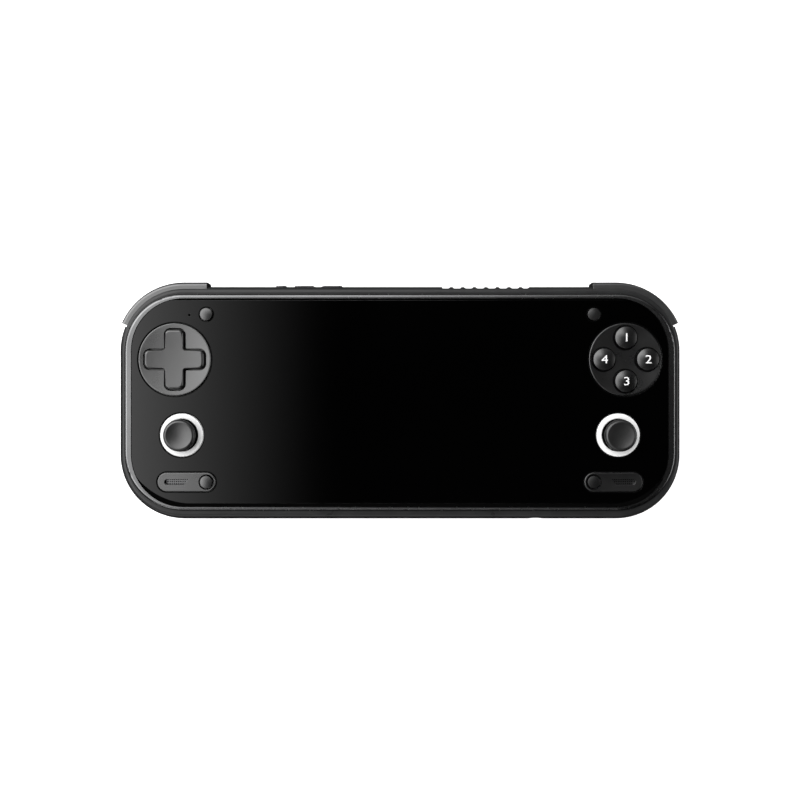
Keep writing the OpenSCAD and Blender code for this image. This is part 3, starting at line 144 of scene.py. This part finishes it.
# Bezel ring: the lip round the glass, turned up and rounded over.
# Dark anodised metal, bead blasted to a fine satin and bonded to the frame's ledge.
BEZEL_GREY = (0.145, 0.1455, 0.147)
bezel_metal, tree, shader = start_material("bezel_metal", BEZEL_GREY, 0.27, metallic=1.0)
colour_clouds(tree, shader, 14 * MM, scaled(BEZEL_GREY, 0.93), scaled(BEZEL_GREY, 1.07))
polish_clouds(tree, shader, 2 * MM, 0.265, 0.275)
dress(bezel_metal, "front_bezel")

# Front glass: one sheet over the whole front, printed black behind, with the display under its middle.
# Polished cover glass with a rounded edge, bonded to the display panel and the frame.
# Matte black strips with no shine lie between it and the bezel above and below. They are painted shade,
# where the lip's shade falls along the glass's edge.
GLASS_BLACK = (0.0004, 0.0004, 0.00042)
SHADE_BLACK = (0.002, 0.002, 0.002)
front_glass, tree, shader = start_material("front_glass", GLASS_BLACK, 0.045)
colour_clouds(tree, shader, 60 * MM, scaled(GLASS_BLACK, 0.8), scaled(GLASS_BLACK, 1.2))
polish_clouds(tree, shader, 25 * MM, 0.035, 0.06, detail=4)
soften(tree, shader, noise(tree, 40 * MM), 0.002 * MM, 0.15 * MM)
dress(front_glass, "front_glass")
display = moulded("display", (0.004, 0.004, 0.005), 0.2)
dress(display, "display_panel")
# Painted shade: black with no reflection, for the strips along the glass's edge and for the lines round the
# cut-outs.
seal_foam, tree, shader = start_material("seal_foam", SHADE_BLACK, 0.9, specular=0.0)
colour_clouds(tree, shader, 0.15 * MM, scaled(SHADE_BLACK, 0.5), scaled(SHADE_BLACK, 1.5))
dress(seal_foam, "glass_seals")

# Dishes and trims: the concave rounds under the direction pad and the face buttons, and the speaker pills.
# Moulded in a matte grey-black plastic, pushed into holes in the frame from the front.
# Each pill has a steel mesh behind its slot, and the paper cone of the speaker behind the mesh.
DISH_BLACK = (0.002, 0.002, 0.0021)
INLAYS = ("dpad_dish", "button_dish", "left_speaker_trim", "right_speaker_trim")
dish_plastic = moulded("dish_plastic", DISH_BLACK, 0.29, grain=0.1 * MM, depth=0.003 * MM, specular=1.0)
dress(dish_plastic, *INLAYS)
mesh_steel, tree, shader = start_material("mesh_steel", (0.13, 0.13, 0.132), 0.32, metallic=1.0)
polish_clouds(tree, shader, 0.2 * MM, 0.28, 0.38)
dress(mesh_steel, "speaker_meshes")
speaker_paper = moulded("speaker_paper", (0.003, 0.003, 0.003), 0.9, grain=0.3 * MM, specular=0.02)
dress(speaker_paper, "speakers")

# Light rings: the flat white rings round the sticks.
# Milky light guide, lit from lamps on the control board and pushed into the glass from behind.
RING_WHITE = (0.82, 0.82, 0.82)
RING_GLOW = 0.12
RINGS = ("left_light_ring", "right_light_ring")
light_guide, tree, shader = start_material("light_guide", RING_WHITE, 0.35)
colour_clouds(tree, shader, 1.5 * MM, scaled(RING_WHITE, 0.96), RING_WHITE)
shader.inputs["Emission Color"].default_value = (1, 1, 1, 1)
shader.inputs["Emission Strength"].default_value = RING_GLOW
dress(light_guide, *RINGS)

# Direction pad: the cross on its ball pivot, over a rubber membrane.
# Moulded satin plastic; the cross rocks on the ball and presses the membrane's domes.
CONTROL_BLACK = (0.003, 0.003, 0.0031)
dpad_plastic = moulded("dpad_plastic", CONTROL_BLACK, 0.33, edge=0.1 * MM, specular=0.8)
dress(dpad_plastic, "dpad", "dpad_pivot")
membrane_rubber = moulded("membrane_rubber", (0.09, 0.09, 0.088), 0.6, grain=0.05 * MM, specular=0.3)
dress(membrane_rubber, "dpad_membrane", "button_membrane")

# Face buttons and small buttons: domed keys that press straight down.
# Moulded and polished, each held under the dish, the glass or the pill by a collar.
FACE_BUTTONS = ("button_top", "button_right", "button_bottom", "button_left")
SIDES = ("left", "right")
button_plastic = moulded("button_plastic", CONTROL_BLACK, 0.3, depth=0.002 * MM, specular=0.7)
dress(button_plastic, *FACE_BUTTONS)
for side in SIDES:
    dress(button_plastic, f"upper_{side}_button", f"lower_{side}_button")

# Numerals: one plain figure on each face button, counted round from the top.
# White ink, pad printed on the dome and a few hundredths of a millimetre thick.
NUMERAL_SIZE = 4.4 * MM
NUMERAL_WIDEN = 1.2
NUMERAL_CUTS = 5
DROP_START = 1 * MM
INK_AND_SHADE_THICKNESS = 0.03 * MM
INK_WHITE = (0.93, 0.93, 0.93)
white_ink, tree, shader = start_material("white_ink", INK_WHITE, 0.5)
colour_clouds(tree, shader, 0.2 * MM, scaled(INK_WHITE, 0.94), INK_WHITE)


def apply_modifier(piece, kind, **settings):
    """Adds a modifier to a piece, sets it and applies it."""
    modifier = piece.modifiers.new(kind.lower(), kind)
    for name, value in settings.items():
        setattr(modifier, name, value)
    bpy.context.view_layer.objects.active = piece
    bpy.ops.object.modifier_apply(modifier=modifier.name)


def print_on(piece, carrier, offset, thickness):
    """Drops a flat piece straight down onto a CAD node and gives it a thickness as thin as a layer of ink,
    for the printed numerals and for the lines of painted shade.
    """
    apply_modifier(
        piece, "SHRINKWRAP", target=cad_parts[carrier], wrap_method="PROJECT", use_project_z=True,
        use_negative_direction=True, use_positive_direction=False, offset=offset,
    )
    apply_modifier(piece, "SOLIDIFY", thickness=thickness, offset=-1)


for figure, button in enumerate(FACE_BUTTONS, start=1):
    low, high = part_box(button)
    bpy.ops.object.text_add()
    numeral = bpy.context.object
    numeral.name = f"{button}_numeral"
    numeral.data.body = str(figure)
    numeral.data.size = NUMERAL_SIZE
    bpy.ops.object.convert(target="MESH")
    bpy.ops.object.origin_set(type="ORIGIN_GEOMETRY", center="BOUNDS")
    numeral.scale.x = NUMERAL_WIDEN
    numeral.location = ((low.x + high.x) / 2, (low.y + high.y) / 2, high.z + DROP_START)
    bpy.ops.object.transform_apply()
    bpy.ops.object.mode_set(mode="EDIT")
    bpy.ops.mesh.select_all(action="SELECT")
    bpy.ops.mesh.quads_convert_to_tris()
    bpy.ops.mesh.subdivide(number_cuts=NUMERAL_CUTS)
    bpy.ops.object.mode_set(mode="OBJECT")
    print_on(numeral, button, INK_AND_SHADE_THICKNESS, 2 * INK_AND_SHADE_THICKNESS)
    numeral.data.materials.clear()
    numeral.data.materials.append(white_ink)
    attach(numeral, button)
    bpy.ops.object.select_all(action="DESELECT")

# Shade lines: the thin black lines round the dishes, pills, rings and buttons, where their cut-outs end.
# They are painted shade: matte black on the glass, the pills and the button dish just past the edge of each
# hole, where the gap round each part lies in shade.
SHADE_LINE_WIDTH = 0.22 * MM
SHADE_LINE_POINTS = 96
INLAY_GAP = 0.33 * MM
FACE_GAP = 0.45 * MM
SMALL_GAP = 0.43 * MM
COLLAR = 0.7 * MM


def border(node, carrier, reach):
    """A line of painted shade on a carrier round a node, which starts as far past the node's box as reach
    says.
    """
    low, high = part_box(node)
    middle = (low + high) / 2
    radius = (high.y - low.y) / 2 + reach
    straight = (high.x - low.x - high.y + low.y) / 2
    start = (middle.x, middle.y, high.z + DROP_START)
    bpy.ops.mesh.primitive_circle_add(vertices=SHADE_LINE_POINTS, radius=radius, location=start)
    line = bpy.context.object
    line.name = f"{node}_border"
    bpy.ops.object.transform_apply()
    bpy.ops.object.mode_set(mode="EDIT")
    bpy.ops.mesh.primitive_circle_add(vertices=SHADE_LINE_POINTS, radius=radius + SHADE_LINE_WIDTH, location=start)
    bpy.ops.mesh.select_all(action="SELECT")
    bpy.ops.mesh.bridge_edge_loops()
    bpy.ops.mesh.normals_make_consistent(inside=False)
    bpy.ops.object.mode_set(mode="OBJECT")
    for vertex in line.data.vertices:
        vertex.co.x += math.copysign(straight, vertex.co.x - middle.x)
    print_on(line, carrier, INK_AND_SHADE_THICKNESS / 2, INK_AND_SHADE_THICKNESS / 2)
    line.data.materials.append(seal_foam)
    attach(line, "console")
    bpy.ops.object.select_all(action="DESELECT")


for name in INLAYS + RINGS:
    border(name, "front_glass", INLAY_GAP)
for name in FACE_BUTTONS:
    border(name, "button_dish", FACE_GAP - COLLAR)
for side in SIDES:
    border(f"upper_{side}_button", "front_glass", SMALL_GAP - COLLAR)
    border(f"lower_{side}_button", f"{side}_speaker_trim", SMALL_GAP - COLLAR)

# Sticks: a rubber cap and a dust dome on a lever, in a rocker, a gimbal ring and a housing.
# The cap is moulded rubber; the mechanism is black acetal plastic, clipped into its housing.
STICK_BLACK = (0.003, 0.003, 0.0031)
stick_rubber = moulded("stick_rubber", STICK_BLACK, 0.38, grain=0.09 * MM, specular=0.62)
stick_plastic = moulded("stick_plastic", STICK_BLACK, 0.45, specular=0.15)
for side in SIDES:
    dress(stick_rubber, f"{side}_stick_cap")
    dress(stick_plastic, *(f"{side}_stick_{piece}" for piece in ("lever", "rocker", "gimbal", "housing")))

# Stick rims: the knurled edge of each cap, where the thumb rolls over it.
# Moulded in one with the rubber cap as a row of small ridges across the rounded edge.
CAP_EDGE = 1.1 * MM
ARC_POINTS = 32
ARC_OVERLAP = 0.2 * CAP_EDGE
KNURL = 0.1 * MM
RIDGES = 64
MERGE = 0.001 * MM
SMOOTH_BELOW = math.radians(50)
for side in SIDES:
    low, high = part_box(f"{side}_stick_cap")
    middle = (low + high) / 2
    edge_x = high.x - CAP_EDGE
    edge_z = high.z - CAP_EDGE - KNURL
    bpy.ops.mesh.primitive_circle_add(
        vertices=ARC_POINTS, radius=CAP_EDGE + KNURL,
        location=(edge_x, middle.y, edge_z), rotation=(math.pi / 2, 0, 0),
    )
    rim = bpy.context.object
    rim.name = f"{side}_stick_rim"
    bpy.ops.object.transform_apply()
    bpy.ops.object.mode_set(mode="EDIT")
    bpy.ops.mesh.select_all(action="DESELECT")
    bpy.ops.object.mode_set(mode="OBJECT")
    for vertex in rim.data.vertices:
        vertex.select = vertex.co.x < edge_x - ARC_OVERLAP or vertex.co.z < edge_z - ARC_OVERLAP
    bpy.ops.object.mode_set(mode="EDIT")
    bpy.ops.mesh.delete(type="VERT")
    bpy.ops.mesh.select_all(action="SELECT")
    bpy.ops.mesh.spin(steps=2 * RIDGES, angle=2 * math.pi, center=middle, axis=(0, 0, 1))
    bpy.ops.mesh.select_all(action="SELECT")
    bpy.ops.mesh.remove_doubles(threshold=MERGE)
    bpy.ops.mesh.normals_make_consistent(inside=False)
    bpy.ops.mesh.select_all(action="DESELECT")
    bpy.ops.object.mode_set(mode="OBJECT")
    for vertex in rim.data.vertices:
        turn = math.atan2(vertex.co.y - middle.y, vertex.co.x - middle.x) / (2 * math.pi)
        vertex.select = round(turn * 2 * RIDGES) % 2 == 1
    bpy.ops.object.mode_set(mode="EDIT")
    bpy.ops.transform.shrink_fatten(value=-2 * KNURL)
    bpy.ops.object.mode_set(mode="OBJECT")
    apply_modifier(rim, "SOLIDIFY", thickness=2 * KNURL, offset=-1)
    bpy.ops.object.shade_smooth_by_angle(angle=SMOOTH_BELOW)
    rim.data.materials.append(stick_rubber)
    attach(rim, f"{side}_stick")
    bpy.ops.object.select_all(action="DESELECT")

# Shoulder keys: the bumpers that wrap the top corners, and the triggers behind them.
# Moulded in the shell's plastic with a finer grain, and hung on steel pins.
# The power button, the volume rocker and the card door are moulded in the same plastic.
shoulder_plastic = moulded("shoulder_plastic", SHELL_BLACK, 0.33, edge=0.25 * MM, specular=1.0)
dress(shoulder_plastic, "left_bumper", "right_bumper", "left_trigger", "right_trigger")
dress(shoulder_plastic, "power_button", "volume_rocker", "card_door")
pin_steel, tree, shader = start_material("pin_steel", (0.5, 0.5, 0.51), 0.3, metallic=1.0)
polish_clouds(tree, shader, 0.15 * MM, 0.22, 0.4)
dress(pin_steel, "bumper_pins", "trigger_pins", "card_door_pin", "shell_screws", "board_screws")

# Boards: the main board and the two control boards, with their chips, switches and sockets.
# Glass fibre with a dark solder mask over copper tracks; black resin packages; steel socket shells.
board, tree, shader = start_material("board", (0.01, 0.06, 0.035), 0.35)
colour_clouds(tree, shader, 1.2 * MM, (0.008, 0.045, 0.026), (0.02, 0.09, 0.05), detail=0)
dress(board, "main_board", "left_control_board", "right_control_board")
chip = moulded("chip", (0.02, 0.02, 0.021), 0.5)
dress(chip, "board_chips", "tact_switches")
dress(pin_steel, "charging_port", "card_socket")

# Battery, fan and heat sink: the flat cell in its foil, the blower and the finned copper plate.
# The cell is glued to the rear shell; the blower and the plate are screwed to the board.
battery_foil, tree, shader = start_material("battery_foil", (0.3, 0.3, 0.31), 0.35, metallic=0.9)
soften(tree, shader, noise(tree, 6 * MM, detail=3), 0.1 * MM, 0.1 * MM)
dress(battery_foil, "battery")
fan_plastic = moulded("fan_plastic", (0.022, 0.022, 0.023), 0.4)
dress(fan_plastic, "fan_housing", "fan_rotor")
copper, tree, shader = start_material("copper", (0.62, 0.29, 0.17), 0.32, metallic=1.0)
polish_clouds(tree, shader, 2 * MM, 0.24, 0.4, detail=4)
dress(copper, "heat_sink")

# Studio: a seamless white floor and one sky of soft light.
# A large bank grows from overhead towards the left; narrow ones stand past the top, bottom and right.
FLOOR_HALF = 3.0
FLOOR_WHITE = (0.9, 0.9, 0.9)
FLOOR_GLOW = (0.8, 0.8, 0.8)
bpy.ops.mesh.primitive_plane_add(size=2 * FLOOR_HALF)
floor = bpy.context.object
floor.name = "floor"
floor_paper, tree, shader = start_material("floor_paper", FLOOR_WHITE, 0.9)
seen = add(tree, "ShaderNodeLightPath")
tree.links.new(seen.outputs["Is Camera Ray"], shader.inputs["Emission Strength"])
shader.inputs["Emission Color"].default_value = (*FLOOR_GLOW, 1)
floor.data.materials.append(floor_paper)
floor.visible_glossy = False
floor.visible_diffuse = False

world = bpy.data.worlds.new("studio")
bpy.context.scene.world = world
world.use_nodes = True
tree = world.node_tree
sky = tree.nodes["Background"]
sky.inputs["Color"].default_value = (1, 1, 1, 1)


def calc(operation, a, b=0.0):
    """A Math node on sockets or numbers."""
    node = add(tree, "ShaderNodeMath", operation=operation)
    for socket, value in zip(node.inputs, (a, b)):
        if isinstance(value, (int, float)):
            socket.default_value = value
        else:
            tree.links.new(value, socket)
    return node.outputs["Value"]


def ramp(value, start, stop):
    """A smooth step from 0 to 1 as a value goes from start to stop."""
    step = add(tree, "ShaderNodeMapRange", interpolation_type="SMOOTHSTEP")
    step.inputs["From Min"].default_value = start
    step.inputs["From Max"].default_value = stop
    tree.links.new(value, step.inputs["Value"])
    return step.outputs["Result"]


def square(value):
    """A socket times itself."""
    return calc("MULTIPLY", value, value)


def product(first, *others):
    """Multiplies sockets or numbers."""
    for other in others:
        first = calc("MULTIPLY", first, other)
    return first


def beyond(value, start):
    """How far a value is past its start, or 0."""
    return calc("MAXIMUM", calc("SUBTRACT", value, start), 0)


def window(value, opens, closes):
    """1 between two soft edges, each given as where it starts and stops, and 0 outside them."""
    return product(ramp(value, *opens), calc("SUBTRACT", 1, ramp(value, *closes)))


toward = add(tree, "ShaderNodeSeparateXYZ")
tree.links.new(add(tree, "ShaderNodeTexCoord").outputs["Generated"], toward.inputs["Vector"])
across, along, height = toward.outputs["X"], toward.outputs["Y"], toward.outputs["Z"]
left, back = calc("MULTIPLY", across, -1), calc("MULTIPLY", along, -1)
leftward = calc("DIVIDE", left, calc("MAXIMUM", height, 0.05))

LEFT_START, LEFT_GAIN, LEFT_TOP = 0.07, 25, 4.5
TOP_LIGHT, TOP_STRIP, BOTTOM_LIGHT, RIM_LIGHT = 4.3, 0.7, 6.9, 3.0
LEFT_END = (0.9, 1.2)
HORIZON = (0.02, 0.3)
left_bank = calc("MINIMUM", product(square(beyond(leftward, LEFT_START)), LEFT_GAIN), LEFT_TOP)
left_bank = product(left_bank, window(along, (-0.55, -0.25), (0.12, 0.52)))
left_bank = product(left_bank, window(left, (0, 0.05), (0.65, 0.95)))
top_bank = product(window(along, (0.13, 0.4), (0.6, 0.85)), window(left, (-0.17, 0.04), LEFT_END), TOP_LIGHT)
top_strip = product(window(along, (0.6, 0.75), (1.1, 1.2)), TOP_STRIP)
bottom_bank = product(window(back, (0.65, 0.95), (0.76, 0.91)), window(left, (-0.42, 0.08), LEFT_END))
bottom_bank = product(bottom_bank, BOTTOM_LIGHT)
right_strip = product(window(along, (-0.8, -0.55), (0.55, 0.8)), ramp(across, 0.8, 0.92), RIM_LIGHT)
banks = calc("ADD", calc("ADD", left_bank, top_bank), calc("ADD", bottom_bank, right_strip))
banks = calc("ADD", banks, top_strip)
light = product(banks, ramp(height, *HORIZON))
camera_ray = add(tree, "ShaderNodeLightPath").outputs["Is Camera Ray"]
tree.links.new(calc("MAXIMUM", light, camera_ray), sky.inputs["Strength"])

# Camera: straight over the middle of the front, with the top edge upwards in the picture.
# Its height and lens give the photograph's frame, and the shift along the front centres the body in it.
CAMERA_HEIGHT = 0.326
CAMERA_SHIFT = 0.17 * MM
CAMERA_LENS = 37.5
camera = bpy.data.objects.new("camera", bpy.data.cameras.new("camera"))
camera.data.lens = CAMERA_LENS
camera.location = (0, CAMERA_SHIFT, CAMERA_HEIGHT)
bpy.context.scene.collection.objects.link(camera)
bpy.context.scene.camera = camera
bpy.context.scene.view_settings.view_transform = "Standard"
